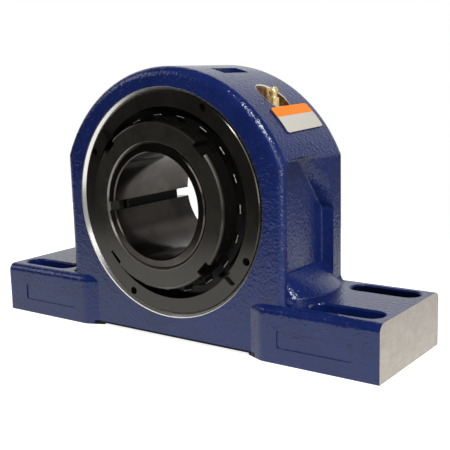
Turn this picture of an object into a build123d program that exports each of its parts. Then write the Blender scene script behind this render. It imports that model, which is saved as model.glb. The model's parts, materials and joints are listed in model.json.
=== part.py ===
"""Four-bolt pillow block with a spherical roller bearing on a tapered adapter sleeve.

Millimetres. X runs along the base, +Y to the back, +Z up. The shaft runs along Y, and the
locknut faces -Y. The origin is the middle of the base's underside.
"""
from build123d import *

import os
from math import atan2, cos, degrees, pi, radians, sin, sqrt, tan

os.makedirs("parts", exist_ok=True)

# Shaft and tapered adapter sleeve
shaft_diameter = 74.6125
taper = 1 / 12
sleeve_wall = 5.9
sleeve_proud = 0.3
sleeve_tail = 4.0
sleeve_chamfer = 0.8
sleeve_slit = 6.6
sleeve_slit_angle = 183.5
taper_step = 0.1
taper_fit = 0.01

# Spherical roller bearing
bearing_width = 36.0
inner_ring_nose = 18.0
inner_ring_tail = 10.0
inner_wall = 8.3
outer_wall = 7.6
race_gap = 0.2
race_side_gap = 0.6
contact_angle = 9.2
roller_rise = 7.7
roller_diameter = 16.0
roller_length = 13.4
roller_crown = 0.35
roller_band = 4.4
roller_space = 3.2
ring_chamfer = 1.0
groove_width = 8.0
groove_depth = 1.8
feed_hole = 4.0
feed_holes = 3
cage_thickness = 3.0
cage_pocket_gap = 0.3
cage_rim = 2.0
guide_gap = 0.3
guide_height = 5.5

# Floating seals with a spherical rim, centred on the bearing
seal_set_out = 1.5
seal_width = 6.5
seal_rim_rise = 0.2
seal_seat_gap = 0.3
seal_lip_gap = 0.3
seal_lip_depth = 1.4
seal_lips = 3

# Locknut and tanged washer
washer_thickness = 2.0
washer_inset = 1.0
washer_fit = 0.1
washer_root = 1.5
tang_count = 19
tang_width = 6.0
tang_gap = 0.4
tang_lean_length = 3.6
tang_lean = 27.0
bent_tang_angle = 133.2
bent_tang_length = 8.0
key_width = 6.2
key_clear = 2.1
nut_wall = 15.3
nut_width = 14.9
nut_chamfer = 1.5
nut_bore_chamfer = 1.6
nut_fit = 0.05
nut_slots = 4
nut_slot_width = 11.0
nut_slot_depth = 4.0
nut_slot_angle = 45.5

# Bore of the housing, and its two threaded covers with their O-rings
seat_fit = 0.03
thread_step = 3.7
thread_fit = 0.15
pilot_length = 6.5
bore_chamfer = 2.4
cover_nose = 2.0
cover_nose_wall = 6.4
cover_recess = 10.6
cover_floor_gap = 2.0
cover_land = 10.75
cover_edge = 0.6
cover_step = 0.4
cover_pilot_fit = 0.1
cover_thread_fit = 0.15
spanner_inset = 3.35
spanner_hole = 5.6
spanner_hole_depth = 5.0
spanner_holes = 4
spanner_angle = 63.0
lock_slot_width = 6.6
lock_slot_length = 16.0
lock_slot_inset = 2.15
lock_slot_depth = 2.6
lock_slot_angle = 138.5
o_ring_section = 2.6
o_ring_squeeze = 0.5
o_ring_corner = 0.7
o_ring_groove_width = 3.4
o_ring_set_out = 3.2

# Body of the housing
shaft_height = 98.4
face_set_back = 0.7
side_wall = 17.54
body_underside = 1.8
arch_drop = 9.6
arch_bulge = 8.3
shoulder_round = 6.0
cast_edge = 6.5

# Feet, with slots for the foundation bolts
foot_height = 38.0
foot_overlap = 26.4
foot_step = 4.45
foot_edge = 5.5
foot_blend = 10.4
foot_run_in = 3.0
foot_blend_round = 12.0
root_fillet = 5.0
toe_end = 4.5
apron_reach = 13.5
apron_half = 34.3
apron_y = -1.0
apron_lip = 3.0
apron_round = 1.6
apron_rise = 17.0
apron_top_half = 26.0
apron_top_reach = 2.0
slot_reach = 13.05
slot_end_wall = 5.95
slot_side_wall = 9.15
slot_width = 17.0
slot_length = 50.6
slot_rim = 1.2

# Sunk panels on the front of the feet
panel_length = 54.0
panel_height = 12.0
panel_sink = 0.7
panel_shift = 3.2
panel_drop = 2.2
panel_corner = 1.2

# Cored pockets in the sides of the body
pocket_depth = 9.0
pocket_front_wall = 4.3
pocket_front_draft = 3.5
pocket_back_wall = 15.8
pocket_side_draft = 1.5
pocket_sill = 4.0
pocket_shoulder_drop = 36.0
pocket_floor_rise = 0.4
pocket_floor_lean = 33.5
pocket_mouth_rise = 3.9
pocket_mouth_lean = 7.5
pocket_draft = 2.0
pocket_mouth_corner = 9.0
pocket_floor_corner = 6.0
pocket_round = 1.5

# Flats cut into the crown: one for the grease fitting, one left as cast
spotface_x = 64.5
spotface_sink = 6.67
spotface_diameter = 24.0
grease_drill = 6.0
crown_flat_sink = 5.9
crown_flat_inner_x = 22.5
crown_flat_reach = 20.0
crown_flat_width = 30.0
crown_clearance = 30.0

# Grease fitting
fitting_y = 0.0
fitting_hex = 7.4
fitting_hex_height = 5.9
fitting_neck = 4.8
fitting_head = 6.0
fitting_height = 13.0
fitting_thread = 6.0
fitting_thread_length = 7.0
fitting_bore = 3.4
fitting_mouth = 1.0
mouth_land = 1.2
spring_seat = 4.0
spring_gap = 0.05
check_ball_diameter = 2.8
check_spring_wire = 0.4
check_spring_turns = 4

# Label plate
label_width = 47.5
label_height = 20.8
label_thickness = 1.1
label_corner = 2.2
label_angle = 40.4
label_y = 5.0
label_turn = 2.4

# Radii, from the shaft outwards
sleeve_thread = shaft_diameter + 2 * sleeve_wall
inner_land = sleeve_thread + 2 * inner_wall
lip_radius = inner_land / 2 + seal_lip_gap
guide_outside = inner_land / 2 + guide_height
roller_reach = inner_land / 2 + roller_rise
roller_circle = roller_reach * cos(radians(contact_angle))
roller_count = int(2 * pi * roller_circle / (roller_diameter + roller_space))
race_sphere = roller_reach + roller_diameter / 2 + race_gap
seal_sphere = race_sphere + seal_rim_rise
ring_outside = race_sphere + outer_wall
seat_radius = ring_outside + seat_fit
pilot_radius = seat_radius - cover_pilot_fit
o_ring_floor = seat_radius - o_ring_section + o_ring_squeeze
thread_radius = ring_outside + thread_step + thread_fit
cover_radius = thread_radius - cover_thread_fit - thread_fit
cover_opening = cover_radius - cover_land
cover_nose_bore = pilot_radius - cover_nose_wall
lock_slot_middle = cover_radius - lock_slot_inset - lock_slot_length / 2
nut_radius = sleeve_thread / 2 + nut_wall
washer_body = nut_radius - washer_inset
key_reach = shaft_diameter / 2 + key_clear

# Places along the shaft, from the bearing's centre outwards
half_bearing = bearing_width / 2
half_roller = roller_length / 2
o_ring_place = half_bearing + o_ring_set_out
thread_end = half_bearing + pilot_length
cover_web_back = half_bearing + cover_nose
seal_inboard = cover_web_back + seal_set_out
seal_outboard = seal_inboard + seal_width
cover_recess_floor = seal_outboard + cover_floor_gap
cover_face = cover_recess_floor + cover_recess
half_depth = cover_face + face_set_back
half_width = half_depth + foot_step
inner_ring_front = half_bearing + inner_ring_nose
inner_ring_back = half_bearing + inner_ring_tail
washer_front = inner_ring_front + washer_thickness
nut_front = washer_front + nut_width
sleeve_front = nut_front + sleeve_proud
sleeve_back = inner_ring_back + sleeve_tail

# Outlines of the casting
body_half_width = thread_radius + side_wall
arch_radius = body_half_width + arch_bulge
arch_centre_height = shaft_height - arch_drop
shoulder_height = arch_centre_height + sqrt(arch_radius**2 - body_half_width**2)
slot_x = body_half_width + slot_reach + slot_length / 2
slot_y = half_width - slot_side_wall - slot_width / 2
base_half = slot_x + slot_length / 2 + slot_end_wall
foot_inner_end = body_half_width - foot_overlap
foot_face_end = foot_inner_end + foot_blend
blend_slope = foot_step / foot_blend
toe_height = foot_height + root_fillet
panel_x = (base_half + foot_face_end) / 2 - panel_shift
panel_z = foot_height / 2 - panel_drop
pocket_floor = body_half_width - pocket_depth
pocket_front = pocket_front_wall - half_depth
pocket_back = half_depth - pocket_back_wall
pocket_bottom = foot_height + pocket_sill
pocket_shoulder = shoulder_height - pocket_shoulder_drop
pocket_floor_top = shoulder_height + pocket_floor_rise
pocket_floor_peak = pocket_back - pocket_floor_lean
pocket_mouth_top = shoulder_height + pocket_mouth_rise
pocket_mouth_peak = pocket_back - pocket_mouth_lean
spotface_height = arch_centre_height + sqrt(arch_radius**2 - spotface_x**2) - spotface_sink
crown_flat_height = arch_centre_height + arch_radius - crown_flat_sink
ball_drop = sqrt((check_ball_diameter / 2) ** 2 - fitting_mouth**2)
ball_centre = fitting_height - mouth_land - ball_drop - spring_gap

# The half plane of the shaft: a sketch there reads (radius, place along Y).
shaft_centre = Vector(0, 0, shaft_height)
shaft_axis = Axis(shaft_centre, (0, 1, 0))
half_plane = Plane.XY.offset(shaft_height)

# The grease fitting stands upright on its spotface.
fitting_plane = Plane(origin=(spotface_x, fitting_y, spotface_height))
fitting_half_plane = Plane(origin=fitting_plane.origin, x_dir=(1, 0, 0), z_dir=(0, -1, 0))
fitting_axis = Axis(fitting_plane.origin, (0, 0, 1))


def face_plane(side, place):
    """A plane square to the shaft, facing out of the front (side -1) or the back (side 1)."""
    return Plane(origin=(0, side * place, shaft_height), x_dir=(1, 0, 0), z_dir=(0, side, 0))


def radial_plane(angle):
    """The half plane turned by an angle in degrees from +X towards +Z."""
    turn = radians(angle)
    return Plane(origin=shaft_centre, x_dir=(cos(turn), 0, sin(turn)), z_dir=(-sin(turn), 0, cos(turn)))


def seat_sphere_at(place):
    """Radius of the cover's spherical seal seat at a distance from the bearing's centre."""
    return sqrt((seal_sphere + seal_seat_gap) ** 2 - place**2)


def rim_sphere_at(place):
    """Radius of the seal's spherical rim at a distance from the bearing's centre."""
    return sqrt(seal_sphere**2 - place**2)


def taper_radius(place):
    """Radius of the inner ring's tapered bore at a place along Y."""
    return sleeve_thread / 2 + taper_step + (place + inner_ring_front) * taper / 2


def row_directions(side):
    """Unit vectors in the half plane, across and along the rollers of one row."""
    tilt = radians(contact_angle)
    return (cos(tilt), side * sin(tilt)), (-sin(tilt), side * cos(tilt))


def row_centre(side):
    """Centre of a roller of one row in the half plane."""
    across, _ = row_directions(side)
    return across[0] * roller_reach, across[1] * roller_reach


def roller_radius(reach):
    """A roller's radius at a distance from its middle: a straight band that tapers to both ends."""
    taper_length = half_roller - roller_band / 2
    return roller_diameter / 2 - roller_crown * max(abs(reach) - roller_band / 2, 0) / taper_length


def race_point(side, reach):
    """A point of the inner raceway, at a reach outboard of the row's centre."""
    across, along = row_directions(side)
    centre = row_centre(side)
    depth = roller_radius(reach) + race_gap
    return (
        centre[0] - across[0] * depth + along[0] * reach,
        centre[1] - across[1] * depth + along[1] * reach,
    )


def rib_top(side, reach):
    """Where the rib at the raceway's outer end meets the inner ring's land."""
    across, _ = row_directions(side)
    foot = race_point(side, reach)
    return inner_land / 2, foot[1] + (inner_land / 2 - foot[0]) * across[1] / across[0]


def guide_half_width(radius):
    """Half the width of the guide ring at a radius, just clear of the rollers' inner ends."""
    across, along = row_directions(1)
    centre = row_centre(1)
    end = (centre[0] - along[0] * half_roller, centre[1] - along[1] * half_roller)
    return end[1] + (radius - end[0]) * across[1] / across[0] - guide_gap


def roller_frame(side, index):
    """A roller's own plane: x across the roller, away from the shaft, and y along it, to the back."""
    across, along = row_directions(side)
    radius, place = row_centre(side)
    turn = radians((index + (side + 1) / 4) * 360 / roller_count)
    outward = Vector(cos(turn), 0, sin(turn))
    backward = Vector(0, 1, 0)
    return Plane(
        origin=shaft_centre + outward * radius + backward * place,
        x_dir=outward * across[0] + backward * across[1],
        z_dir=(outward * across[0] + backward * across[1]).cross(
            (outward * along[0] + backward * along[1]) * side
        ),
    )


def finish(piece, name):
    """Label a finished piece and write it to its own file."""
    piece.part.label = name
    export_step(piece.part, f"parts/{name}.step")


def pocket_outline(plane, front_inset, inset, peak, top, corner):
    """A cored pocket's outline at one depth: it is cut away behind, from the shoulder up to its peak."""
    front, back = pocket_front + front_inset, pocket_back - inset
    with BuildSketch(plane) as outline:
        with BuildLine():
            Polyline(
                (front, pocket_bottom + inset),
                (back, pocket_bottom + inset),
                (back, pocket_shoulder),
                (peak, top),
                (front, top),
                close=True,
            )
        make_face()
        fillet(outline.vertices(), corner)
    return outline.sketch


def pocket_core(side):
    """The core that forms the pocket of one side, rounded along its floor, with a sloping roof."""
    floor_plane = Plane(origin=(side * pocket_floor, 0, 0), x_dir=(0, 1, 0), z_dir=(1, 0, 0))
    mouth_plane = floor_plane.offset(side * (pocket_depth + pocket_draft))
    floor = pocket_outline(
        floor_plane,
        pocket_front_draft,
        pocket_side_draft,
        pocket_floor_peak,
        pocket_floor_top,
        pocket_floor_corner,
    )
    mouth = pocket_outline(
        mouth_plane, 0, 0, pocket_mouth_peak, pocket_mouth_top, pocket_mouth_corner
    )
    with BuildPart() as core:
        loft([floor, mouth], ruled=True)
        floor_rim = core.edges().filter_by(lambda e: abs(abs(e.center().X) - pocket_floor) < 0.01)
        fillet(floor_rim, pocket_round)
    return core.part


def foot_block(side):
    """One foot: its inner end runs out into the body, and its long top edges are rounded."""
    root = foot_inner_end - foot_run_in
    run_out = half_depth - blend_slope * foot_run_in
    with BuildPart() as block:
        with BuildSketch(Plane.XY):
            with BuildLine():
                Polyline(
                    (side * root, run_out),
                    (side * foot_face_end, half_width),
                    (side * base_half, half_width),
                    (side * base_half, -half_width),
                    (side * foot_face_end, -half_width),
                    (side * root, -run_out),
                    close=True,
                )
            make_face()
        extrude(amount=foot_height)
        turns = block.edges().filter_by(Axis.Z).filter_by(
            lambda e: abs(abs(e.center().X) - foot_face_end) < 0.1
        )
        fillet(turns, foot_blend_round)
        rims = block.edges().filter_by(
            lambda e: abs(e.center().Z - foot_height) < 0.1 and abs(e.center().Y) > run_out - 0.1
        )
        fillet(rims, foot_edge)
    return block.part


def toe_apron(side):
    """The casting's apron under one pocket: a cone that slopes down to a rounded lip on the foot."""
    reach = body_half_width - pocket_floor + apron_reach
    foot = Plane(origin=(side * pocket_floor, apron_y, foot_height))
    with BuildPart() as apron:
        with BuildSketch(foot):
            Ellipse(reach, apron_half)
        extrude(amount=apron_lip)
        with BuildSketch(foot.offset(apron_lip)) as lower:
            Ellipse(reach, apron_half)
        with BuildSketch(foot.offset(apron_rise)) as upper:
            Ellipse(apron_top_reach, apron_top_half)
        loft([lower.sketch, upper.sketch])
        lip = apron.edges().filter_by(lambda e: abs(e.center().Z - foot_height - apron_lip) < 0.1)
        fillet(lip, apron_round)
    return apron.part


pocket_cores = [pocket_core(side) for side in (-1, 1)]
foot_blocks = [foot_block(side) for side in (-1, 1)]
toe_aprons = [toe_apron(side) for side in (-1, 1)]

with BuildPart() as housing:
    with BuildSketch(Plane.XZ):
        with BuildLine():
            Polyline(
                (-body_half_width, shoulder_height),
                (-body_half_width, body_underside),
                (body_half_width, body_underside),
                (body_half_width, shoulder_height),
            )
            ThreePointArc(
                (body_half_width, shoulder_height),
                (0, arch_centre_height + arch_radius),
                (-body_half_width, shoulder_height),
            )
        make_face()
    extrude(amount=half_depth, both=True)
    shoulders = housing.edges().filter_by(Axis.Y).filter_by(
        lambda e: abs(e.center().Z - shoulder_height) < 0.1
    )
    fillet(shoulders, shoulder_round)
    body_rims = housing.edges().filter_by(
        lambda e: abs(abs(e.center().Y) - half_depth) < 0.1 and e.center().Z > body_underside + 1
    )
    fillet(body_rims, cast_edge)

    # Bearing seat, cover threads and the machined chamfers at both mouths
    with BuildSketch(half_plane):
        with BuildLine():
            Polyline(
                (0, -half_depth - 1),
                (thread_radius + bore_chamfer + 1, -half_depth - 1),
                (thread_radius, -half_depth + bore_chamfer),
                (thread_radius, -thread_end),
                (seat_radius, -thread_end),
                (seat_radius, thread_end),
                (thread_radius, thread_end),
                (thread_radius, half_depth - bore_chamfer),
                (thread_radius + bore_chamfer + 1, half_depth + 1),
                (0, half_depth + 1),
                close=True,
            )
        make_face()
    revolve(axis=shaft_axis, mode=Mode.SUBTRACT)

    # Pockets cored into both sides
    add(pocket_cores, mode=Mode.SUBTRACT)

    # Feet, and a toe that runs up into the body, with an apron under each pocket
    add(foot_blocks)
    add(toe_aprons)
    with BuildSketch(Plane.XZ):
        for side in (-1, 1):
            wall = side * body_half_width
            root = side * pocket_floor
            toe = side * (body_half_width + root_fillet)
            with BuildLine():
                Polyline((toe, foot_height), (root, foot_height), (root, toe_height), (wall, toe_height))
                RadiusArc((wall, toe_height), (toe, foot_height), -side * root_fillet)
            make_face()
    extrude(amount=half_depth - toe_end, both=True)

    # Bolt slots, with a rounded rim
    with BuildSketch(Plane.XY.offset(foot_height)):
        with GridLocations(2 * slot_x, 2 * slot_y, 2, 2):
            SlotOverall(slot_length, slot_width)
    extrude(amount=-foot_height, mode=Mode.SUBTRACT)
    slot_rims = housing.edges().filter_by(
        lambda e: abs(e.center().Z - foot_height) < 0.1
        and abs(abs(e.center().X) - slot_x) < slot_length / 2 + 0.1
        and abs(abs(e.center().Y) - slot_y) < slot_width / 2 + 0.1
    )
    chamfer(slot_rims, slot_rim)

    # Bare sunk panels on the front of the feet
    with BuildSketch(Plane.XZ.offset(half_width)):
        for side in (-1, 1):
            with Locations((side * panel_x, panel_z)):
                RectangleRounded(panel_length, panel_height, panel_corner)
    extrude(amount=-panel_sink, mode=Mode.SUBTRACT)

    # Flats in the crown: the spotface of the grease fitting with its feed hole, and the cast flat
    with BuildSketch(Plane.XY.offset(spotface_height)):
        with Locations((spotface_x, fitting_y)):
            Circle(spotface_diameter / 2)
    extrude(amount=crown_clearance, mode=Mode.SUBTRACT)
    with BuildSketch(Plane.XY.offset(spotface_height)):
        with Locations((spotface_x, fitting_y)):
            Circle(grease_drill / 2)
    extrude(amount=shaft_height - spotface_height, mode=Mode.SUBTRACT)
    with BuildSketch(Plane.XY.offset(crown_flat_height)):
        with Locations((crown_flat_inner_x + crown_flat_reach / 2, 0)):
            Rectangle(crown_flat_reach, crown_flat_width)
    extrude(amount=crown_clearance, mode=Mode.SUBTRACT)

finish(housing, "housing")


# Threaded covers with their O-rings: one face, one seal seat and one nose to the bearing
for side, place in ((-1, "front"), (1, "rear")):
    with BuildPart() as cover:
        with BuildSketch(half_plane):
            with BuildLine():
                Polyline(
                    (seat_sphere_at(cover_web_back), side * cover_web_back),
                    (cover_nose_bore, side * cover_web_back),
                    (cover_nose_bore, side * half_bearing),
                    (pilot_radius, side * half_bearing),
                    (pilot_radius, side * (thread_end + cover_step)),
                    (cover_radius, side * (thread_end + cover_step)),
                    (cover_radius, side * (cover_face - cover_edge)),
                    (cover_radius - cover_edge, side * cover_face),
                    (cover_opening, side * cover_face),
                    (cover_opening, side * cover_recess_floor),
                    (seat_sphere_at(cover_recess_floor), side * cover_recess_floor),
                )
                seat_middle = (cover_web_back + cover_recess_floor) / 2
                ThreePointArc(
                    (seat_sphere_at(cover_recess_floor), side * cover_recess_floor),
                    (seat_sphere_at(seat_middle), side * seat_middle),
                    (seat_sphere_at(cover_web_back), side * cover_web_back),
                )
            make_face()
        revolve(axis=shaft_axis)
        with BuildSketch(half_plane):
            with Locations((pilot_radius, side * o_ring_place)):
                Rectangle(2 * (pilot_radius - o_ring_floor), o_ring_groove_width)
        revolve(axis=shaft_axis, mode=Mode.SUBTRACT)
        with BuildSketch(face_plane(side, cover_face)):
            with PolarLocations(cover_radius - spanner_inset, spanner_holes, spanner_angle):
                Circle(spanner_hole / 2)
        extrude(amount=-spanner_hole_depth, mode=Mode.SUBTRACT)
        with BuildSketch(face_plane(side, cover_face)):
            with PolarLocations(lock_slot_middle, 2, lock_slot_angle):
                SlotOverall(lock_slot_length, lock_slot_width)
        extrude(amount=-lock_slot_depth, mode=Mode.SUBTRACT)
    finish(cover, f"{place}_cover")

    with BuildPart() as o_ring:
        with BuildSketch(half_plane):
            with Locations(((seat_radius + o_ring_floor) / 2, side * o_ring_place)):
                section = Rectangle(seat_radius - o_ring_floor, o_ring_section)
            chamfer(section.vertices(), o_ring_corner)
        revolve(axis=shaft_axis)
    finish(o_ring, f"{place}_o_ring")


# Outer ring: a spherical raceway, and a feed groove with holes through to it
with BuildPart() as outer_ring:
    race_edge = sqrt(race_sphere**2 - half_bearing**2)
    with BuildSketch(half_plane):
        with BuildLine():
            Polyline(
                (race_edge, half_bearing),
                (ring_outside - ring_chamfer, half_bearing),
                (ring_outside, half_bearing - ring_chamfer),
                (ring_outside, groove_width / 2),
                (ring_outside - groove_depth, groove_width / 4),
                (ring_outside - groove_depth, -groove_width / 4),
                (ring_outside, -groove_width / 2),
                (ring_outside, ring_chamfer - half_bearing),
                (ring_outside - ring_chamfer, -half_bearing),
                (race_edge, -half_bearing),
            )
            ThreePointArc((race_edge, -half_bearing), (race_sphere, 0), (race_edge, half_bearing))
        make_face()
    revolve(axis=shaft_axis)
    for feed in range(feed_holes):
        angle = radians(90 + feed * 360 / feed_holes)
        outward = Vector(cos(angle), 0, sin(angle))
        with BuildSketch(Plane(origin=shaft_centre + outward * ring_outside, z_dir=outward)):
            Circle(feed_hole / 2)
        extrude(amount=race_edge - ring_outside, mode=Mode.SUBTRACT)
finish(outer_ring, "outer_ring")


# Inner ring: two hollow raceways, lands for the seals, and a bore on the sleeve's taper
with BuildPart() as inner_ring:
    land = inner_land / 2
    half_race = roller_length / 2 + race_side_gap
    with BuildSketch(half_plane):
        with BuildLine():
            Polyline(
                race_point(-1, half_race),
                rib_top(-1, half_race),
                (land, ring_chamfer - inner_ring_front),
                (land - ring_chamfer, -inner_ring_front),
                (taper_radius(-inner_ring_front), -inner_ring_front),
                (taper_radius(inner_ring_back), inner_ring_back),
                (land - ring_chamfer, inner_ring_back),
                (land, inner_ring_back - ring_chamfer),
                rib_top(1, half_race),
                race_point(1, half_race),
                race_point(1, roller_band / 2),
                race_point(1, -roller_band / 2),
                race_point(1, -half_race),
                race_point(-1, -half_race),
                race_point(-1, -roller_band / 2),
                race_point(-1, roller_band / 2),
                close=True,
            )
        make_face()
    revolve(axis=shaft_axis)
finish(inner_ring, "inner_ring")


# Guide ring: floats on the inner ring's middle land, between the two rows of rollers
with BuildPart() as guide_ring:
    guide_bore = race_point(1, -half_race)[0] + guide_gap
    with BuildSketch(half_plane):
        with BuildLine():
            Polyline(
                (guide_bore, guide_half_width(guide_bore)),
                (guide_outside, guide_half_width(guide_outside)),
                (guide_outside, -guide_half_width(guide_outside)),
                (guide_bore, -guide_half_width(guide_bore)),
                close=True,
            )
        make_face()
    revolve(axis=shaft_axis)
finish(guide_ring, "guide_ring")


# Window cages: a conical shell along each row, with one window for each roller
for side, place in ((-1, "front"), (1, "rear")):
    across, along = row_directions(side)
    with BuildPart() as cage:
        window_length = roller_length + 2 * cage_pocket_gap
        with BuildSketch(half_plane):
            with Locations(Location(row_centre(side), degrees(atan2(along[1], along[0])))):
                Rectangle(window_length + 2 * cage_rim, cage_thickness)
        revolve(axis=shaft_axis)
        for index in range(roller_count):
            roller_plane = roller_frame(side, index)
            window_plane = Plane(
                origin=roller_plane.origin, x_dir=roller_plane.y_dir, z_dir=roller_plane.x_dir
            )
            with BuildSketch(window_plane):
                Rectangle(window_length, roller_diameter + 2 * cage_pocket_gap)
            extrude(amount=cage_thickness, both=True, mode=Mode.SUBTRACT)
    finish(cage, f"{place}_cage")

    for index in range(roller_count):
        roller_plane = roller_frame(side, index)
        with BuildPart() as roller:
            with BuildSketch(roller_plane):
                with BuildLine():
                    Polyline(
                        (0, half_roller),
                        (0, -half_roller),
                        (roller_radius(half_roller), -half_roller),
                        (roller_diameter / 2, -roller_band / 2),
                        (roller_diameter / 2, roller_band / 2),
                        (roller_radius(half_roller), half_roller),
                        close=True,
                    )
                make_face()
            revolve(axis=Axis(roller_plane.origin, roller_plane.y_dir))
        finish(roller, f"{place}_roller_{index + 1:02d}")


# Seals: a ring with a spherical rim that turns in the cover's seat, and lips on the inner ring
for side, place in ((-1, "front"), (1, "rear")):
    with BuildPart() as seal:
        rim_middle = (seal_inboard + seal_outboard) / 2
        lip_pitch = (seal_outboard - seal_inboard) / seal_lips
        lip_line = []
        for lip in range(seal_lips):
            lip_line.append((lip_radius + seal_lip_depth, side * (seal_inboard + lip * lip_pitch)))
            lip_line.append((lip_radius, side * (seal_inboard + (lip + 0.6) * lip_pitch)))
        with BuildSketch(half_plane):
            with BuildLine():
                Polyline(
                    (rim_sphere_at(seal_inboard), side * seal_inboard),
                    *lip_line,
                    (lip_radius + seal_lip_depth, side * seal_outboard),
                    (rim_sphere_at(seal_outboard), side * seal_outboard),
                )
                ThreePointArc(
                    (rim_sphere_at(seal_outboard), side * seal_outboard),
                    (rim_sphere_at(rim_middle), side * rim_middle),
                    (rim_sphere_at(seal_inboard), side * seal_inboard),
                )
            make_face()
        revolve(axis=shaft_axis)
    finish(seal, f"{place}_seal")


# Adapter sleeve: slit from end to end, threaded in front and tapered behind
with BuildPart() as adapter_sleeve:
    with BuildSketch(half_plane):
        with BuildLine():
            Polyline(
                (shaft_diameter / 2 + sleeve_chamfer, -sleeve_front),
                (sleeve_thread / 2 - sleeve_chamfer, -sleeve_front),
                (sleeve_thread / 2, sleeve_chamfer - sleeve_front),
                (sleeve_thread / 2, -inner_ring_front),
                (taper_radius(-inner_ring_front) - taper_fit, -inner_ring_front),
                (taper_radius(sleeve_back) - taper_fit, sleeve_back),
                (shaft_diameter / 2 + sleeve_chamfer, sleeve_back),
                (shaft_diameter / 2, sleeve_back - sleeve_chamfer),
                (shaft_diameter / 2, sleeve_chamfer - sleeve_front),
                close=True,
            )
        make_face()
    revolve(axis=shaft_axis)
    with BuildSketch(radial_plane(sleeve_slit_angle)):
        with Locations((sleeve_thread / 2, 0)):
            Rectangle(sleeve_thread / 2, 4 * sleeve_front)
    extrude(amount=sleeve_slit / 2, both=True, mode=Mode.SUBTRACT)
finish(adapter_sleeve, "adapter_sleeve")


# Lockwasher: a key in the sleeve's slit, tangs that lean past the nut, one bent into its slot
with BuildPart() as lockwasher:
    with BuildSketch(face_plane(-1, inner_ring_front)):
        Circle(washer_body)
        Circle(sleeve_thread / 2 + washer_fit, mode=Mode.SUBTRACT)
        with PolarLocations((key_reach + sleeve_thread / 2 + washer_root) / 2, 1, sleeve_slit_angle):
            Rectangle(sleeve_thread / 2 + washer_root - key_reach, key_width)
    extrude(amount=washer_thickness)
    lean = tang_lean_length * tan(radians(tang_lean))
    fold = nut_radius + tang_gap
    for tang in range(1, tang_count):
        with BuildSketch(radial_plane(bent_tang_angle + tang * 360 / tang_count)):
            with BuildLine():
                Polyline(
                    (washer_body - washer_root, -inner_ring_front),
                    (fold, -inner_ring_front),
                    (fold + tang_lean_length, -inner_ring_front - lean),
                    (fold + tang_lean_length, -washer_front - lean),
                    (fold, -washer_front),
                    (washer_body - washer_root, -washer_front),
                    close=True,
                )
            make_face()
        extrude(amount=tang_width / 2, both=True)
    with BuildSketch(radial_plane(bent_tang_angle)):
        with Locations((washer_body - washer_thickness / 2, -inner_ring_front - bent_tang_length / 2)):
            Rectangle(washer_thickness, bent_tang_length)
    extrude(amount=tang_width / 2, both=True)
finish(lockwasher, "lockwasher")


# Locknut: four spanner slots along its rim
with BuildPart() as locknut:
    nut_bore = sleeve_thread / 2 + nut_fit
    with BuildSketch(half_plane):
        with BuildLine():
            Polyline(
                (nut_bore, nut_bore_chamfer - nut_front),
                (nut_bore + nut_bore_chamfer, -nut_front),
                (nut_radius - nut_chamfer, -nut_front),
                (nut_radius, nut_chamfer - nut_front),
                (nut_radius, -washer_front),
                (nut_bore, -washer_front),
                close=True,
            )
        make_face()
    revolve(axis=shaft_axis)
    with BuildSketch(face_plane(-1, nut_front)):
        with PolarLocations(nut_radius, nut_slots, nut_slot_angle):
            Rectangle(2 * nut_slot_depth, nut_slot_width)
    extrude(amount=-nut_width, mode=Mode.SUBTRACT)
finish(locknut, "locknut")


# Grease fitting: threaded stem, hexagon, neck and ball head around one bore
with BuildPart() as grease_fitting:
    with BuildSketch(fitting_plane):
        RegularPolygon(fitting_hex / 2, 6, major_radius=False)
    extrude(amount=fitting_hex_height)
    with BuildSketch(fitting_half_plane):
        with BuildLine():
            Polyline(
                (0, -fitting_thread_length),
                (fitting_thread / 2, -fitting_thread_length),
                (fitting_thread / 2, 0),
                (fitting_neck / 2, fitting_hex_height),
                (fitting_neck / 2, fitting_height - fitting_head),
                (fitting_head / 2, fitting_height - fitting_head / 2),
                (fitting_mouth + mouth_land, fitting_height),
                (0, fitting_height),
                close=True,
            )
        make_face()
    revolve(axis=fitting_axis)
    with BuildSketch(fitting_half_plane):
        with BuildLine():
            Polyline(
                (0, -fitting_thread_length),
                (fitting_mouth, -fitting_thread_length),
                (fitting_mouth, spring_seat),
                (fitting_bore / 2, spring_seat),
                (fitting_bore / 2, fitting_height - mouth_land),
                (fitting_mouth, fitting_height - mouth_land),
                (fitting_mouth, fitting_height),
                (0, fitting_height),
                close=True,
            )
        make_face()
    revolve(axis=fitting_axis, mode=Mode.SUBTRACT)
finish(grease_fitting, "grease_fitting")

with BuildPart() as check_ball:
    with Locations(fitting_plane.offset(ball_centre)):
        Sphere(check_ball_diameter / 2)
finish(check_ball, "check_ball")

with BuildPart() as check_spring:
    spring_length = ball_centre - check_ball_diameter / 2 - spring_seat - check_spring_wire - 2 * spring_gap
    coil_radius = fitting_bore / 2 - check_spring_wire / 2 - spring_gap
    coil_foot = fitting_plane.offset(spring_seat + check_spring_wire / 2 + spring_gap)
    with BuildLine(coil_foot) as coil:
        Helix(spring_length / check_spring_turns, spring_length, coil_radius)
    with BuildSketch(Plane(origin=coil.line @ 0, z_dir=coil.line % 0)):
        Circle(check_spring_wire / 2)
    sweep(path=coil.line, is_frenet=True)
finish(check_spring, "check_spring")


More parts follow.
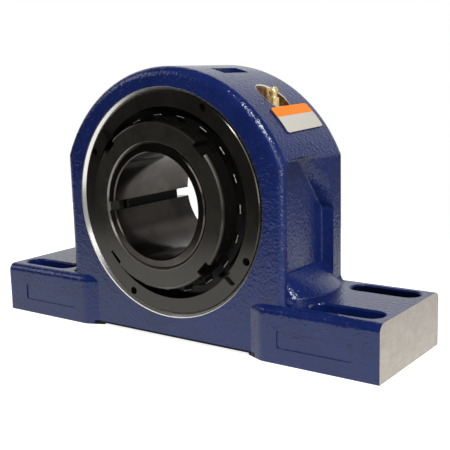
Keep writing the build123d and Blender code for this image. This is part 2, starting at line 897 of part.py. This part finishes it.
# Label plate: a rounded rectangle of thin plate bent to the arch
with BuildPart() as label_plate:
    outward = Vector(cos(radians(label_angle)), 0, sin(radians(label_angle)))
    label_top = arch_radius + label_thickness
    tangent_plane = Plane(
        origin=Vector(0, label_y, arch_centre_height) + outward * (label_top + 1),
        x_dir=(0, 1, 0),
        z_dir=outward,
    )
    with BuildSketch(tangent_plane):
        with Locations(Location((0, 0), label_turn)):
            RectangleRounded(label_width, label_height, label_corner)
    extrude(amount=-label_height / 2)
    with BuildSketch(Plane.XZ):
        with Locations((0, arch_centre_height)):
            Circle(label_top)
            Circle(arch_radius, mode=Mode.SUBTRACT)
    extrude(amount=half_width, both=True, mode=Mode.INTERSECT)
finish(label_plate, "label_plate")
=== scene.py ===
"""Looks of a pillow block bearing unit: cast blue housing, black covers, locknut and tapered sleeve."""

import json
import math

import bpy
from mathutils import Euler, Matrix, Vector

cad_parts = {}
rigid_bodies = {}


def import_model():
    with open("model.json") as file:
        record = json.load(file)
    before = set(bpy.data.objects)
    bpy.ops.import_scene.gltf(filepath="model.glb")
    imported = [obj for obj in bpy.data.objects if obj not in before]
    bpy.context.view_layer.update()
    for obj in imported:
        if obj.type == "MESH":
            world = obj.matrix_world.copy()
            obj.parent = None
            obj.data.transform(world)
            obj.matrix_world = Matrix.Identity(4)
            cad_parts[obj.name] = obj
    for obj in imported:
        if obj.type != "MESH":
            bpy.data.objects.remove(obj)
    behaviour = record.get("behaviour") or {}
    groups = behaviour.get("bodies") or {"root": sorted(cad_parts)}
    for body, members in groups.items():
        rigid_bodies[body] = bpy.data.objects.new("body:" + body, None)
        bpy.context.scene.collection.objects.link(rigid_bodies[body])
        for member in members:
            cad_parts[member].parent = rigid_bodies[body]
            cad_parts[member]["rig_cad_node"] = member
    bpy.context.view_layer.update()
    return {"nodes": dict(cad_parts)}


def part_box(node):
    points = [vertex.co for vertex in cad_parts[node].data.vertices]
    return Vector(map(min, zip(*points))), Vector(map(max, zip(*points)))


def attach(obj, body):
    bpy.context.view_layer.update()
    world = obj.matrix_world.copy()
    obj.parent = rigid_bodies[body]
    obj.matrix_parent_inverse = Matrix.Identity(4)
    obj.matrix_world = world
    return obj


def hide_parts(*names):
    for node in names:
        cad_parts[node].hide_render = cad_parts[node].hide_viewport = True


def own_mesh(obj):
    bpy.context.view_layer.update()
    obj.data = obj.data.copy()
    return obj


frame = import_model()
bpy.ops.object.select_all(action="DESELECT")

NODES = frame["nodes"]
MM = 0.001

# Where the finishes change. The base stands on z = 0, the front faces -y, and the shaft lies along y
SHAFT_HEIGHT = 98.4 * MM
ARCH_CENTRE = 88.8 * MM
BASE_END = 165.9 * MM
UNDERSIDE = 0.1 * MM
FOOT_TOP = 36.9 * MM
BODY_FOOT = 3.2 * MM
BODY_HALF_LENGTH = 74.0 * MM
SLOT_X = 134.9 * MM
SLOT_Y = 31.8 * MM
SLOT_HALF_RUN = 16.8 * MM
SLOT_RADIUS = 8.7 * MM
MASK_RADIUS = 81.7 * MM
MASK_LEFT = 0.6 * MM
MASK_DROP = 0.2 * MM
SPOTFACE_X = 64.5 * MM
SPOTFACE_RADIUS = 12.1 * MM
SPOTFACE_LOW = 164.0 * MM
SPOTFACE_RIM = 103.9 * MM
COVER_RECESS = 40.2 * MM
COVER_OPENING = 68.2 * MM
NUT_FRONT = (-52.3 * MM, -51.9 * MM)
NUT_FACE_EDGE = (50.0 * MM, 50.5 * MM)
NUT_CHAMFER_BACK = -51.2 * MM
NUT_CHAMFER_RADIUS = 45.0 * MM
TANG_TIP = (62.7 * MM, 63.0 * MM)
TANG_FRONT = (39.5 * MM, 39.9 * MM)
TANG_HIGHLIGHT_RAG = 1.2 * MM
INNER_RING_BORE = 46.4 * MM
LABEL_FACE = 105.5 * MM
LABEL_BAND_FOOT = math.radians(41.5)
LABEL_BAND_SLANT = 0.35

# Skin of the casting: its greatest height, and the heights between which it grows from weaker to full
SKIN_HEIGHT = 0.4 * MM
SKIN_RISE = (30.0 * MM, 110.0 * MM)
SKIN_STRENGTH = (0.9, 1.0)

# Warm tint of the blackened steel's reflections, and the darker and lighter clouds of ground bearing steel
BLACKENED_TINT = (1.0, 0.95, 0.84, 1.0)
GROUND_STEEL = ((0.5, 0.5, 0.51, 1.0), (0.58, 0.58, 0.59, 1.0))

# Ring around the grease fitting's head
HEAD_RING_DROP = 3.0 * MM
HEAD_RING_RADIUS = 2.35 * MM
HEAD_RING_THICKNESS = 0.95 * MM
HEAD_RING_STRETCH = 2.1
HEAD_RING_SHOULDER = 0.6 * MM
HEAD_RING_TAPER = 0.94

# The fitting's valve: how close the points are that the spring's copy merges
MERGE_DISTANCE = 0.001 * MM

# Camera: place, turn and framing
CAMERA_PLACE = (0.372644, -0.483883, 0.187305)
CAMERA_TURN = (1.391493, 0.025915, 0.624925)
CAMERA_SENSOR = 36.0
CAMERA_LENS = 66.738
CAMERA_SHIFT = (0.0022, -0.0008)
CAMERA_CLIP = (0.01, 50.0)

# Floor: where it ends, how far below the base it lies, and its brightness to the camera and in reflections
FLOOR_FRONT = -0.32
FLOOR_BACK = 0.4
FLOOR_LEFT = -1.1
FLOOR_RIGHT = 0.3
FLOOR_DROP = 0.4 * MM
FLOOR_LIFT = (0.86, 1.0)
FLOOR_LIFT_REACH = (0.28, 0.4)
FLOOR_IN_GLOSS = 0.62

# World: its strength as plain light, and in reflections at the back, on the right and elsewhere
WORLD_AMBIENT = 0.15
WORLD_BACK = 0.88
WORLD_RIGHT = 0.32
WORLD_DARK = 0.05

# Parts of a ray's direction between which the backdrop fades: towards the back, up, down and to the right
BACKDROP_TURN = (0.05, 0.35)
BACKDROP_TOP = (0.5, 0.8)
BACKDROP_FOOT = (-0.05, 0.07)
BACKDROP_RIGHT = (0.15, 0.6)

# Lamps: name, place, size, power and tint. All of them point at the middle of the part
LAMP_AIM = (0.0, 0.0, 0.1)
LAMPS = (
    ("overhead", (0.52, -0.42, 1.0), (0.32, 0.16), 7.0, (1.0, 1.0, 1.0)),
    ("right_front", (1.3, -0.6, 0.3), (0.5, 0.55), 5.6, (1.0, 0.96, 0.9)),
    ("tall_card", (0.744, -0.797, 0.81), (0.4, 0.8), 2.2, (1.0, 1.0, 1.0)),
    ("from_left", (-1.2, -0.7, 0.8), (0.6, 0.6), 2.5, (1.0, 1.0, 1.0)),
)


def colour(red, green, blue):
    """A colour as a shader's socket takes it."""
    return (red, green, blue, 1.0)


class Nodes:
    """Short calls that add nodes to a tree and return what comes out of them."""

    def __init__(self, tree):
        self.tree = tree

    def put(self, value, socket):
        """Links another node's output to a socket, or sets a plain value on it."""
        if isinstance(value, bpy.types.NodeSocket):
            self.tree.links.new(value, socket)
        else:
            socket.default_value = value

    def math(self, operation, *values):
        node = self.tree.nodes.new("ShaderNodeMath")
        node.operation = operation
        for value, socket in zip(values, node.inputs):
            self.put(value, socket)
        return node.outputs[0]

    def ramp(self, value, low, high, start=0.0, end=1.0):
        """Eases from start to end while a value goes from low to high."""
        node = self.tree.nodes.new("ShaderNodeMapRange")
        node.interpolation_type = "SMOOTHSTEP"
        self.put(value, node.inputs["Value"])
        for socket, number in (("From Min", low), ("From Max", high), ("To Min", start), ("To Max", end)):
            node.inputs[socket].default_value = number
        return node.outputs[0]

    def size(self, value):
        """A value without its sign."""
        return self.math("ABSOLUTE", value)

    def within(self, value, edge):
        """Mask that is 1 where a value is under an edge."""
        return self.math("LESS_THAN", value, edge)

    def beyond(self, value, edge):
        """Mask that is 1 where a value is over an edge."""
        return self.math("GREATER_THAN", value, edge)

    def both(self, first, second):
        return self.math("MULTIPLY", first, second)

    def either(self, first, second):
        return self.math("MAXIMUM", first, second)

    def less(self, value, amount):
        return self.math("SUBTRACT", value, amount)

    def waver(self, texture, swing, base):
        """A number that a texture raises above its base."""
        return self.math("ADD", self.math("MULTIPLY", texture, swing), base)

    def total(self, *shares):
        """Adds up values, each times its share."""
        result = None
        for value, share in shares:
            part = self.math("MULTIPLY", value, share)
            result = part if result is None else self.math("ADD", result, part)
        return result

    def span(self, first, second):
        """Length of the step that two values at right angles make."""
        squares = [self.math("MULTIPLY", value, value) for value in (first, second)]
        return self.math("SQRT", self.math("ADD", *squares))


class Finish(Nodes):
    """A material under construction, whose patterns all follow the piece's own coordinates."""

    def __init__(self, name, **values):
        self.material = bpy.data.materials.new(name)
        self.material.use_nodes = True
        super().__init__(self.material.node_tree)
        self.shader = self.tree.nodes["Principled BSDF"]
        self.set(**values)
        self.place = self.tree.nodes.new("ShaderNodeTexCoord").outputs["Object"]

    def set(self, **values):
        """Sets sockets of the shader, with an underscore for each space in their names."""
        for socket, value in values.items():
            self.put(value, self.shader.inputs[socket.replace("_", " ")])

    def axes(self):
        node = self.tree.nodes.new("ShaderNodeSeparateXYZ")
        self.put(self.place, node.inputs[0])
        return node.outputs

    def from_shaft(self):
        """Distance from the shaft's axis."""
        x, _, z = self.axes()
        return self.span(x, self.less(z, SHAFT_HEIGHT))

    def scaled(self, size):
        """Coordinates that stretch a pattern along some of the axes."""
        node = self.tree.nodes.new("ShaderNodeMapping")
        self.put(self.place, node.inputs["Vector"])
        node.inputs["Scale"].default_value = size
        return node.outputs[0]

    def noise(self, scale, detail=3.0, roughness=0.55, place=None):
        node = self.tree.nodes.new("ShaderNodeTexNoise")
        self.put(place or self.place, node.inputs["Vector"])
        node.inputs["Scale"].default_value = scale
        node.inputs["Detail"].default_value = detail
        node.inputs["Roughness"].default_value = roughness
        return node.outputs[0]

    def cells(self, scale):
        node = self.tree.nodes.new("ShaderNodeTexVoronoi")
        self.put(self.place, node.inputs["Vector"])
        node.inputs["Scale"].default_value = scale
        return node.outputs["Distance"]

    def mix(self, share, first, second):
        node = self.tree.nodes.new("ShaderNodeMix")
        node.data_type = "RGBA"
        self.put(share, node.inputs["Factor"])
        self.put(first, node.inputs[6])
        self.put(second, node.inputs[7])
        return node.outputs[2]

    def clouded(self, texture, low, high, first, second):
        """Goes from one colour to another while a texture goes from low to high."""
        return self.mix(self.ramp(texture, low, high), first, second)

    def bump(self, height, distance, strength):
        node = self.tree.nodes.new("ShaderNodeBump")
        node.inputs["Strength"].default_value = strength
        node.inputs["Distance"].default_value = distance
        self.put(height, node.inputs["Height"])
        return node.outputs[0]


def in_bolt_slots(paint, x, y, z):
    """Mask of the bolt slots' insides, which have round ends, where shade is painted."""
    slot_x = paint.less(paint.size(x), SLOT_X)
    slot_y = paint.less(paint.size(y), SLOT_Y)
    along = paint.either(paint.less(paint.size(slot_x), SLOT_HALF_RUN), 0.0)
    slot = paint.within(paint.span(along, slot_y), SLOT_RADIUS)
    return paint.both(slot, paint.within(z, FOOT_TOP))


def cast_skin(paint, z, bare):
    """Height of the sand's grain, an orange peel with pimples and pits, and of fine cuts on bare faces."""
    skin = paint.noise(520.0, 2.5, 0.55)
    grain = paint.noise(1100.0, 1.0, 0.5)
    pimples = paint.ramp(paint.noise(520.0, 1.0, 0.5), 0.55, 0.75)
    pits = paint.ramp(paint.cells(230.0), 0.0, 0.3)
    height = paint.total((skin, 1.0), (grain, 0.08), (pimples, 0.12), (pits, 0.06))
    height = paint.math("MULTIPLY", height, paint.ramp(z, *SKIN_RISE, *SKIN_STRENGTH))
    height = paint.math("MULTIPLY", height, paint.less(1.0, bare))
    cuts = paint.noise(1.0, 2.0, 0.5, paint.scaled((300.0, 1500.0, 300.0)))
    return paint.math("ADD", height, paint.both(paint.math("MULTIPLY", cuts, 0.05), bare))


def cast_blue():
    """Blue enamel over a sand-cast skin, bare where the casting is machined."""
    paint = Finish("cast_blue_enamel", Specular_Tint=colour(0.94, 0.99, 1.0))
    x, y, z = paint.axes()
    swell = paint.noise(38.0, 2.0)

    # Machined: the ends of the base, its underside, and the bore with the edge around each cover. The bare
    # edge is centred a little left of and below the bore, so the pale machined ring is wider on the lower
    # left and narrower on the upper right as painted highlight and shade
    ends = paint.beyond(paint.size(x), BASE_END)
    under = paint.within(z, UNDERSIDE)
    masked = paint.span(paint.math("ADD", x, MASK_LEFT), paint.less(z, SHAFT_HEIGHT - MASK_DROP))
    bore = paint.within(masked, MASK_RADIUS)

    # The grease fitting's spotface is rusty, and its rim, where it meets the crown, carries a pale painted
    # highlight
    spot = paint.span(paint.less(x, SPOTFACE_X), y)
    crown = paint.span(x, paint.less(z, ARCH_CENTRE))
    rusty = paint.both(paint.within(spot, SPOTFACE_RADIUS), paint.beyond(z, SPOTFACE_LOW))
    rim_highlight = paint.both(rusty, paint.beyond(crown, SPOTFACE_RIM))
    bare = paint.either(paint.either(ends, under), paint.either(bore, rim_highlight))
    any_bare = paint.either(bare, rusty)

    # Painted shade: the bolt slots' insides and a strip along the foot of the body, between the feet, are
    # painted near-black and less glossy
    slot_shade_mask = in_bolt_slots(paint, x, y, z)
    blue = paint.clouded(swell, 0.35, 0.65, colour(0.0055, 0.0155, 0.105), colour(0.008, 0.02, 0.125))
    under_body_shadow = paint.both(paint.within(z, BODY_FOOT), paint.within(paint.size(x), BODY_HALF_LENGTH))
    painted_shade = paint.either(slot_shade_mask, under_body_shadow)
    blue = paint.mix(painted_shade, blue, colour(0.003, 0.004, 0.016))

    # Bare iron is warm grey with the mill's lines across it, and palest on the bore's edge
    mill = paint.noise(1.0, 3.0, 0.6, paint.scaled((60.0, 60.0, 900.0)))
    cloud = paint.noise(90.0, 5.0, 0.7)
    steel = paint.clouded(cloud, 0.35, 0.7, colour(0.4, 0.352, 0.308), colour(0.475, 0.43, 0.385))
    steel = paint.mix(paint.ramp(mill, 0.4, 0.75, 0.0, 0.5), steel, colour(0.33, 0.287, 0.243))
    flecks = paint.noise(300.0, 4.0)
    rust = paint.clouded(flecks, 0.35, 0.65, colour(0.2, 0.1, 0.045), colour(0.42, 0.27, 0.13))
    steel = paint.mix(bore, steel, colour(0.8, 0.78, 0.74))
    shown = paint.mix(rusty, paint.mix(bare, blue, steel), rust)
    # painted highlight: near white on the spotface's rim
    shown = paint.mix(rim_highlight, shown, colour(0.85, 0.82, 0.76))

    height = cast_skin(paint, z, any_bare)
    metal = paint.math("MULTIPLY", paint.less(any_bare, rim_highlight), 0.85)
    paint.set(
        Base_Color=shown,
        Metallic=metal,
        # the glossiness drops where shade is painted
        Specular_IOR_Level=paint.less(0.5, paint.math("MULTIPLY", painted_shade, 0.4)),
        Roughness=paint.total((paint.either(ends, rusty), 0.22), (bore, 0.06), (1.0, 0.16)),
        Normal=paint.bump(height, SKIN_HEIGHT, 1.0),
    )
    return paint.material


def turned_black(steel, dark, light):
    """Sets a glossy blackened finish with fine rings from the tool, and returns its colour."""
    rings = steel.noise(1.0, 2.0, 0.5, steel.math("MULTIPLY", steel.from_shaft(), 2600.0))
    cloud = steel.noise(60.0, 4.0)
    steel.set(
        Roughness=steel.waver(cloud, 0.1, 0.13),
        Normal=steel.bump(rings, 0.012 * MM, 0.5),
    )
    return steel.clouded(cloud, 0.3, 0.7, dark, light)


def cover_steel():
    """Blackened turned steel of the covers, with shade painted in the recess around the nut: darker and
    less glossy there.
    """
    steel = Finish("blackened_cover_steel", Specular_IOR_Level=0.6, Specular_Tint=BLACKENED_TINT)
    behind = steel.within(steel.size(steel.axes()[1]), COVER_RECESS)
    recess_shade = steel.both(behind, steel.within(steel.from_shaft(), COVER_OPENING))
    black = turned_black(steel, colour(0.008, 0.0075, 0.0064), colour(0.013, 0.012, 0.01))
    steel.set(
        # painted shade: near black and less glossy in the recess around the nut
        Base_Color=steel.mix(recess_shade, black, colour(0.003, 0.003, 0.0035)),
        Specular_IOR_Level=steel.less(0.6, steel.math("MULTIPLY", recess_shade, 0.45)),
    )
    return steel.material


def nut_steel():
    """Blackened turned steel of the nut: a greyer face, sides painted in shade (darker and less glossy),
    and a bright chamfer at the bore.
    """
    steel = Finish("blackened_nut_steel", Specular_IOR_Level=0.6, Specular_Tint=BLACKENED_TINT)
    behind = steel.ramp(steel.axes()[1], *NUT_FRONT)
    side_shade = steel.both(behind, steel.ramp(steel.from_shaft(), *NUT_FACE_EDGE))
    black = turned_black(steel, colour(0.017, 0.0155, 0.013), colour(0.026, 0.0235, 0.02))
    # painted shade: the nut's sides darker, and less glossy below
    black = steel.mix(side_shade, black, colour(0.006, 0.0056, 0.005))
    front = steel.within(steel.axes()[1], NUT_CHAMFER_BACK)
    chamfer = steel.both(front, steel.within(steel.from_shaft(), NUT_CHAMFER_RADIUS))
    steel.set(
        Base_Color=steel.mix(chamfer, black, colour(0.22, 0.205, 0.19)),
        Metallic=steel.math("MULTIPLY", chamfer, 0.7),
        Specular_IOR_Level=steel.less(0.6, steel.math("MULTIPLY", side_shade, 0.4)),
    )
    return steel.material


def washer_steel():
    """Blackened washer, with a pale painted highlight, ragged at its edge, at the tips of its tangs."""
    steel = Finish("blackened_washer_steel", Specular_IOR_Level=0.25)
    ragged = steel.math("MULTIPLY", steel.noise(400.0), TANG_HIGHLIGHT_RAG)
    tip = steel.ramp(steel.math("ADD", steel.from_shaft(), ragged), *TANG_TIP)
    front = steel.ramp(steel.less(ragged, steel.axes()[1]), *TANG_FRONT)
    tip_highlight = steel.both(tip, front)
    black = turned_black(steel, colour(0.004, 0.0038, 0.0035), colour(0.007, 0.0066, 0.006))
    # painted highlight: pale grey at the tang tips
    steel.set(Base_Color=steel.mix(tip_highlight, black, colour(0.5, 0.48, 0.44)))
    return steel.material


def sleeve_steel():
    """Ground dark steel of the sleeve, with faint marks that run along the bore."""
    steel = Finish("ground_dark_steel", Metallic=1.0)
    streak = steel.noise(1.0, 3.0, 0.6, steel.scaled((500.0, 14.0, 500.0)))
    cloud = steel.noise(45.0)
    dark, light = colour(0.055, 0.049, 0.044), colour(0.086, 0.077, 0.069)
    steel.set(
        Base_Color=steel.clouded(cloud, 0.35, 0.65, dark, light),
        Roughness=steel.waver(streak, 0.05, 0.12),
        Normal=steel.bump(streak, 0.004 * MM, 0.4),
    )
    return steel.material


def inner_ring_steel():
    """Ground steel outside, and a bore made nearly black, seen where the sleeve's slit bares it."""
    steel = Finish("ground_inner_ring_steel", Metallic=0.9)
    cloud = steel.noise(120.0)
    ground = steel.clouded(cloud, 0.3, 0.7, *GROUND_STEEL)
    dark_bore = steel.within(steel.from_shaft(), INNER_RING_BORE)
    steel.set(
        # the bore is nearly black
        Base_Color=steel.mix(dark_bore, ground, colour(0.006, 0.0055, 0.005)),
        Roughness=steel.waver(cloud, 0.1, 0.2),
    )
    return steel.material


def bright_steel():
    """Ground and polished bearing steel."""
    steel = Finish("ground_bearing_steel", Metallic=1.0)
    cloud = steel.noise(120.0)
    steel.set(
        Base_Color=steel.clouded(cloud, 0.3, 0.7, *GROUND_STEEL),
        Roughness=steel.waver(cloud, 0.1, 0.14),
    )
    return steel.material


def cage_steel():
    """Pressed steel strip, with a soft phosphate grey."""
    steel = Finish("pressed_grey_steel", Metallic=0.8)
    grain = steel.noise(700.0)
    steel.set(
        Base_Color=steel.mix(grain, colour(0.22, 0.22, 0.225), colour(0.34, 0.34, 0.345)),
        Roughness=steel.waver(grain, 0.15, 0.3),
        Normal=steel.bump(grain, 0.02 * MM, 0.4),
    )
    return steel.material


def black_rubber():
    """Moulded nitrile, matt and slightly dusty."""
    rubber = Finish("moulded_nitrile", Metallic=0.0, Specular_IOR_Level=0.35)
    grain = rubber.noise(900.0)
    rubber.set(
        Base_Color=rubber.mix(grain, colour(0.018, 0.018, 0.019), colour(0.032, 0.032, 0.033)),
        Roughness=rubber.waver(grain, 0.2, 0.5),
        Normal=rubber.bump(grain, 0.03 * MM, 0.4),
    )
    return rubber.material


def yellow_zinc():
    """Yellow plated steel of the grease fitting."""
    plate = Finish("yellow_plated_steel", Metallic=0.6)
    cloud = plate.noise(420.0)
    plate.set(
        Base_Color=plate.clouded(cloud, 0.3, 0.7, colour(0.86, 0.64, 0.27), colour(0.98, 0.84, 0.48)),
        Roughness=plate.waver(cloud, 0.15, 0.2),
        Normal=plate.bump(cloud, 0.03 * MM, 0.4),
    )
    return plate.material


def label_print():
    """Printed plate: an orange band above, light grey below, and its edges and back painted dark as the
    shadow under the plate.
    """
    label = Finish("printed_label", Specular_IOR_Level=0.25)
    x, y, z = label.axes()
    rise = label.less(z, ARCH_CENTRE)
    band_foot = label.waver(y, LABEL_BAND_SLANT, LABEL_BAND_FOOT)
    band = label.beyond(label.math("ARCTAN2", rise, x), band_foot)
    grain = label.noise(500.0, 2.0)
    tone = label.mix(band, colour(0.64, 0.61, 0.55), colour(1.0, 0.26, 0.012))
    # the plate's edges and back, below its printed face, carry a painted shadow
    face = label.beyond(label.span(x, rise), LABEL_FACE)
    label.set(
        Base_Color=label.mix(face, colour(0.05, 0.05, 0.05), tone),
        Roughness=label.waver(grain, 0.12, 0.36),
        Normal=label.bump(grain, 0.02 * MM, 0.3),
    )
    return label.material


def paint_nodes():
    """Gives each node of the frame its finish, which is bright bearing steel where none is named here."""
    finishes = {
        "blue": cast_blue(),
        "cover": cover_steel(),
        "nut": nut_steel(),
        "washer": washer_steel(),
        "sleeve": sleeve_steel(),
        "inner": inner_ring_steel(),
        "bright": bright_steel(),
        "cage": cage_steel(),
        "rubber": black_rubber(),
        "zinc": yellow_zinc(),
        "label": label_print(),
    }
    wear = {
        "housing": "blue",
        "front_cover": "cover",
        "rear_cover": "cover",
        "locknut": "nut",
        "lockwasher": "washer",
        "adapter_sleeve": "sleeve",
        "inner_ring": "inner",
        "front_cage": "cage",
        "rear_cage": "cage",
        "front_seal": "rubber",
        "rear_seal": "rubber",
        "front_o_ring": "rubber",
        "rear_o_ring": "rubber",
        "grease_fitting": "zinc",
        "label_plate": "label",
    }
    for name, node in NODES.items():
        node.data.materials.clear()
        node.data.materials.append(finishes[wear.get(name, "bright")])


def round_fitting_head():
    """Rounds the grease fitting's head with a tall ring around its edge, clear of the ball's mouth."""
    low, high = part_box("grease_fitting")
    centre = ((low[0] + high[0]) / 2, (low[1] + high[1]) / 2, high[2] - HEAD_RING_DROP)
    bpy.ops.mesh.primitive_torus_add(
        location=centre,
        major_radius=HEAD_RING_RADIUS,
        minor_radius=HEAD_RING_THICKNESS,
        major_segments=64,
        minor_segments=24,
    )
    ring = bpy.context.object
    ring.name = "fitting_head_ring"
    bpy.ops.object.mode_set(mode="EDIT")
    bpy.ops.mesh.select_all(action="SELECT")
    bpy.ops.transform.resize(value=(1.0, 1.0, HEAD_RING_STRETCH), center_override=centre)
    bpy.ops.mesh.select_all(action="DESELECT")
    bpy.ops.object.mode_set(mode="OBJECT")
    for vertex in ring.data.vertices:
        vertex.select = vertex.co.z > HEAD_RING_SHOULDER
    bpy.ops.object.mode_set(mode="EDIT")
    bpy.ops.transform.resize(value=(HEAD_RING_TAPER, HEAD_RING_TAPER, 1.0), center_override=centre)
    bpy.ops.object.mode_set(mode="OBJECT")
    bpy.ops.object.transform_apply(location=True, rotation=True, scale=True)
    bpy.ops.object.shade_smooth()
    ring.data.materials.append(NODES["grease_fitting"].data.materials[0])
    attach(ring, "housing")


def coil_valve_spring():
    """Stands a merged copy in for the valve's spring, fixed to the housing."""
    bpy.ops.object.select_all(action="DESELECT")
    NODES["check_spring"].select_set(True)
    bpy.context.view_layer.objects.active = NODES["check_spring"]
    bpy.ops.object.duplicate()
    coil = bpy.context.object
    coil.name = "check_spring_coil"
    del coil["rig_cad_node"]
    bpy.ops.object.mode_set(mode="EDIT")
    bpy.ops.mesh.select_all(action="SELECT")
    bpy.ops.mesh.remove_doubles(threshold=MERGE_DISTANCE)
    bpy.ops.object.mode_set(mode="OBJECT")
    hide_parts("check_spring")
    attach(coil, "housing")
    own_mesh(coil)
    bpy.ops.object.select_all(action="DESELECT")


def place_camera():
    """Adds the camera and makes it the scene's."""
    bpy.ops.object.camera_add(location=CAMERA_PLACE)
    camera = bpy.context.object
    camera.rotation_euler = Euler(CAMERA_TURN)
    camera.data.sensor_width = CAMERA_SENSOR
    camera.data.lens = CAMERA_LENS
    camera.data.shift_x, camera.data.shift_y = CAMERA_SHIFT
    camera.data.clip_start, camera.data.clip_end = CAMERA_CLIP
    bpy.context.scene.camera = camera


def floor_material():
    """Pale floor, lit by the lamps so that it keeps a shadow, and lifted to white as a background."""
    floor = Finish("pale_floor", Base_Color=colour(0.8, 0.8, 0.8), Roughness=0.9, Specular_IOR_Level=0.0)
    path = floor.tree.nodes.new("ShaderNodeLightPath").outputs
    x, y, _ = floor.axes()
    lift = floor.ramp(floor.span(x, y), *FLOOR_LIFT_REACH, *FLOOR_LIFT)
    gloss = floor.either(path["Is Glossy Ray"], path["Is Transmission Ray"])
    camera = floor.math("MULTIPLY", path["Is Camera Ray"], lift)
    floor.set(
        Emission_Color=colour(1.0, 1.0, 1.0),
        Emission_Strength=floor.math("ADD", camera, floor.math("MULTIPLY", gloss, FLOOR_IN_GLOSS)),
    )
    return floor.material


def build_floor():
    """A floor that ends a little way off on all sides, so that upright faces reflect it only low down."""
    width, depth = FLOOR_RIGHT - FLOOR_LEFT, FLOOR_BACK - FLOOR_FRONT
    centre = ((FLOOR_RIGHT + FLOOR_LEFT) / 2, (FLOOR_FRONT + FLOOR_BACK) / 2, -FLOOR_DROP)
    bpy.ops.mesh.primitive_plane_add(size=1.0, location=centre)
    floor = bpy.context.object
    floor.name = "floor"
    floor.scale = (width, depth, 1.0)
    bpy.ops.object.transform_apply(location=True, rotation=False, scale=True)
    floor.data.materials.append(floor_material())


def build_world():
    """White to the camera, dim as light, and in reflections pale at the back left and grey on the right."""
    world = bpy.data.worlds.new("studio")
    bpy.context.scene.world = world
    world.use_nodes = True
    sky = Nodes(world.node_tree)

    heading = sky.tree.nodes.new("ShaderNodeSeparateXYZ")
    sky.put(sky.tree.nodes.new("ShaderNodeTexCoord").outputs["Generated"], heading.inputs[0])
    x, y, z = heading.outputs
    behind = sky.ramp(y, *BACKDROP_TURN, 0.0, WORLD_BACK)
    low = sky.ramp(z, *BACKDROP_TOP, 1.0, 0.0)
    left = sky.ramp(x, *BACKDROP_RIGHT, 1.0, 0.0)
    above = sky.ramp(z, *BACKDROP_FOOT, 0.0, 1.0)
    white = sky.both(sky.both(behind, low), sky.both(left, above))
    right = sky.both(sky.ramp(x, *BACKDROP_RIGHT, 0.0, WORLD_RIGHT), low)
    backdrop = sky.either(sky.either(white, right), WORLD_DARK)

    path = sky.tree.nodes.new("ShaderNodeLightPath").outputs
    seen = sky.either(path["Is Glossy Ray"], path["Is Transmission Ray"])
    reflected = sky.both(seen, backdrop)
    strength = sky.math("ADD", reflected, sky.both(sky.less(1.0, seen), WORLD_AMBIENT))
    camera = path["Is Camera Ray"]
    strength = sky.math("ADD", sky.both(sky.less(1.0, camera), strength), camera)
    background = sky.tree.nodes["Background"]
    sky.put(colour(1.0, 1.0, 1.0), background.inputs["Color"])
    sky.put(strength, background.inputs["Strength"])


def soft_lamp(name, place, size, power, tint):
    """A rectangular soft lamp that points at the middle of the part."""
    bpy.ops.object.light_add(type="AREA", location=place)
    lamp = bpy.context.object
    lamp.name = name
    lamp.data.shape = "RECTANGLE"
    lamp.data.size, lamp.data.size_y = size
    lamp.data.energy = power
    lamp.data.color = tint
    lamp.rotation_euler = (Vector(LAMP_AIM) - Vector(place)).to_track_quat("-Z", "Y").to_euler()


place_camera()
paint_nodes()
round_fitting_head()
coil_valve_spring()
build_floor()
build_world()
for lamp_values in LAMPS:
    soft_lamp(*lamp_values)
bpy.context.scene.view_settings.view_transform = "Standard"
